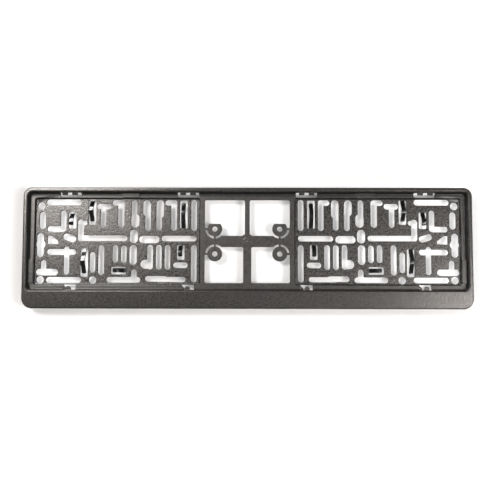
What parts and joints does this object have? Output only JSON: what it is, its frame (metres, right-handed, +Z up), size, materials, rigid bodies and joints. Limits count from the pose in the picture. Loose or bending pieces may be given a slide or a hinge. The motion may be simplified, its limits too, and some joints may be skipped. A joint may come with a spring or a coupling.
{
  "type": "number plate holder",
  "caption": "Flat plastic number plate holder: a rimmed recess with hooks and lugs for the plate, slotted fields with spring tongues, and snap-off screw discs in the middle.",
  "frame": {"origin": "centre of the rectangle of the four disc screw holes, on the plane of the holder's back, where it lies on the bumper", "axes": "+X along the plate, to the right as seen from the front; +Z up; the front with the rim faces -Y and the back lies on Y = 0"},
  "size_m": [0.535, 0.014, 0.1445],
  "materials": {
    "grained_plastic": "dark warm grey ABS with a fine spark-eroded grain and a soft sheen, smoother and darker on the spring tongues"
  },
  "bodies": {
    "root": {"holder": "grained_plastic"}
  },
  "joints": []
}
